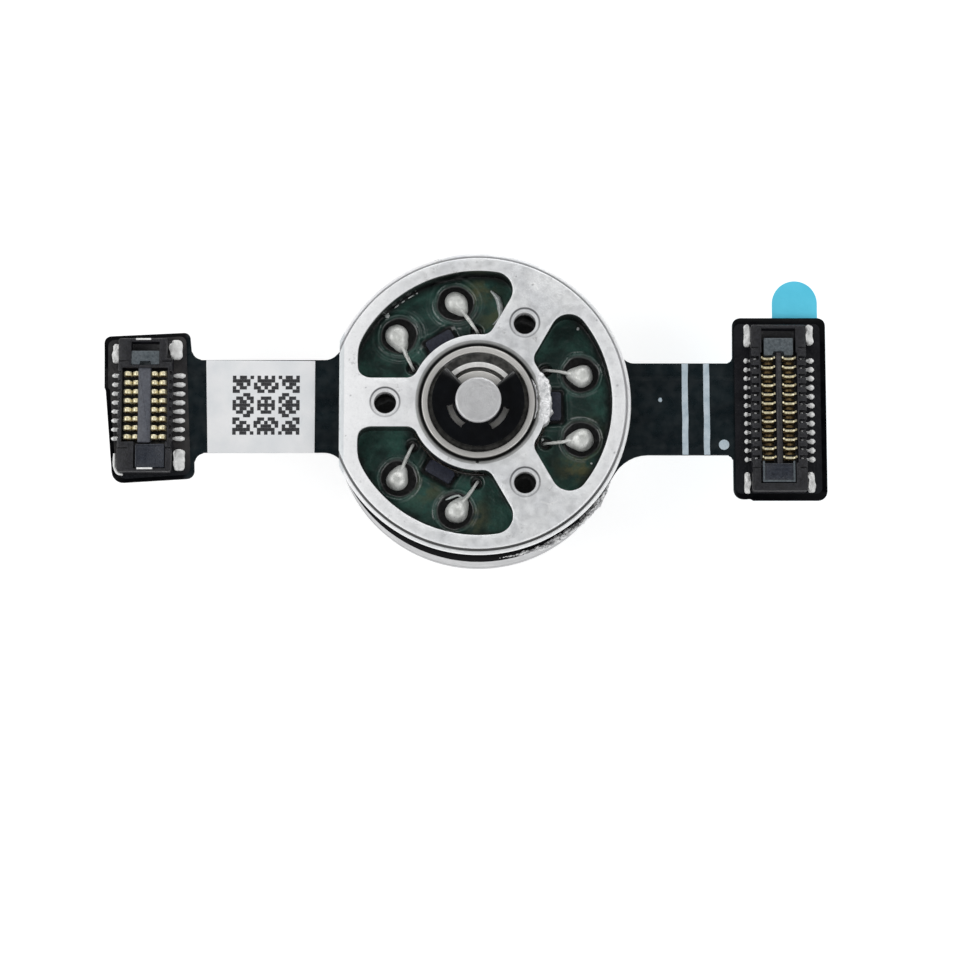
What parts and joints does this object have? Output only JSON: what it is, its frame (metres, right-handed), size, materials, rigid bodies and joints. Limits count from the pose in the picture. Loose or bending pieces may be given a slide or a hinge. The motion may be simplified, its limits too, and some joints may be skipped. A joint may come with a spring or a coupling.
{
  "type": "brushless gimbal motor",
  "caption": "Flat outrunner gimbal motor: round mounting plate over a rotor can, with a flexible circuit that leaves on both sides and ends in board-to-board connectors.",
  "frame": {"origin": "centre of the rotor's output face, on the motor axis", "axes": "+Z along the shaft from the rotor's output face towards the mounting plate; +X along the flexible circuit towards the wider connector"},
  "size_m": [0.0317, 0.0132, 0.0076],
  "materials": {
    "plate_metal": "fine machined, satin, with handling scratches",
    "can_metal": "turned, satin",
    "shaft_steel": "ground, satin end face",
    "bearing_steel": "ground and polished",
    "clip_black": "black spring steel, satin",
    "back_iron": "plain iron",
    "magnet_nickel": "nickel plated",
    "core_laminations": "stacked silicon steel sheets",
    "insulator_resin": "thin moulded resin",
    "enamelled_copper": "enamelled winding wire, tinned at its ends",
    "board_green": "green board under clear coating",
    "flex_black": "black coverlay, satin",
    "chip_resin": "moulded package",
    "solder": "bright dull solder",
    "stiffener": "black laminate",
    "connector_resin": "dark moulded resin",
    "contact_gold": "pale gold plating",
    "hold_down_tin": "tin plating",
    "label_paper": "white synthetic paper",
    "adhesive_film": "double-sided adhesive film",
    "liner_blue": "pale blue release film"
  },
  "bodies": {
    "stator": {"mounting_plate": "plate_metal", "circuit_board": "board_green", "flex_core": "flex_black", "hall_sensor_a": "chip_resin", "hall_sensor_b": "chip_resin", "hall_sensor_c": "chip_resin", "solder_joint_1": "solder", "solder_joint_2": "solder", "solder_joint_3": "solder", "solder_joint_4": "solder", "solder_joint_5": "solder", "solder_joint_6": "solder", "phase_winding_a": "enamelled_copper", "phase_winding_b": "enamelled_copper", "phase_winding_c": "enamelled_copper", "stator_core": "core_laminations", "upper_insulator": "insulator_resin", "lower_insulator": "insulator_resin", "upper_bearing_outer_ring": "bearing_steel", "lower_bearing_outer_ring": "bearing_steel", "upper_bearing_shield": "bearing_steel", "lower_bearing_shield": "bearing_steel"},
    "rotor": {"rotor_can": "can_metal", "shaft": "shaft_steel", "retaining_clip": "clip_black", "back_iron_ring": "back_iron", "magnet_01": "magnet_nickel", "magnet_02": "magnet_nickel", "magnet_03": "magnet_nickel", "magnet_04": "magnet_nickel", "magnet_05": "magnet_nickel", "magnet_06": "magnet_nickel", "magnet_07": "magnet_nickel", "magnet_08": "magnet_nickel", "magnet_09": "magnet_nickel", "magnet_10": "magnet_nickel", "magnet_11": "magnet_nickel", "magnet_12": "magnet_nickel", "upper_bearing_inner_ring": "bearing_steel", "lower_bearing_inner_ring": "bearing_steel"},
    "upper_bearing_cage": {"upper_ball_cage": "bearing_steel"},
    "lower_bearing_cage": {"lower_ball_cage": "bearing_steel"},
    "left_tail": {"left_flex": "flex_black", "left_stiffener": "stiffener", "left_label": "label_paper", "left_connector_housing": "connector_resin", "left_contacts_a": "contact_gold", "left_contacts_b": "contact_gold", "left_hold_down_a": "hold_down_tin", "left_hold_down_b": "hold_down_tin"},
    "right_tail": {"right_flex": "flex_black", "right_stiffener": "stiffener", "right_adhesive_pad": "adhesive_film", "release_liner": "liner_blue", "right_connector_housing": "connector_resin", "right_contacts_a": "contact_gold", "right_contacts_b": "contact_gold", "right_hold_down_a": "hold_down_tin", "right_hold_down_b": "hold_down_tin"}
  },
  "joints": [
    {"name": "rotor_spin", "type": "hinge", "parent": "stator", "child": "rotor", "pos_m": [0, 0, 0], "axis": [0, 0, 1], "continuous": true},
    {"name": "upper_cage_turn", "type": "hinge", "parent": "stator", "child": "upper_bearing_cage", "pos_m": [0, 0, 0.00575], "axis": [0, 0, 1], "continuous": true},
    {"name": "lower_cage_turn", "type": "hinge", "parent": "stator", "child": "lower_bearing_cage", "pos_m": [0, 0, 0.00225], "axis": [0, 0, 1], "continuous": true},
    {"name": "left_tail_bend", "type": "hinge", "parent": "stator", "child": "left_tail", "pos_m": [-0.0069, 0, 0.00534], "axis": [0, 1, 0], "range_deg": [-90, 90], "stiffness_Nm_per_rad": 0.0003},
    {"name": "right_tail_bend", "type": "hinge", "parent": "stator", "child": "right_tail", "pos_m": [0.0076, 0, 0.00534], "axis": [0, -1, 0], "range_deg": [-90, 90], "stiffness_Nm_per_rad": 0.0003}
  ],
  "couplings": [
    {"joint": "upper_cage_turn", "follows": "rotor_spin", "ratio": 0.3936},
    {"joint": "lower_cage_turn", "follows": "rotor_spin", "ratio": 0.3936}
  ]
}
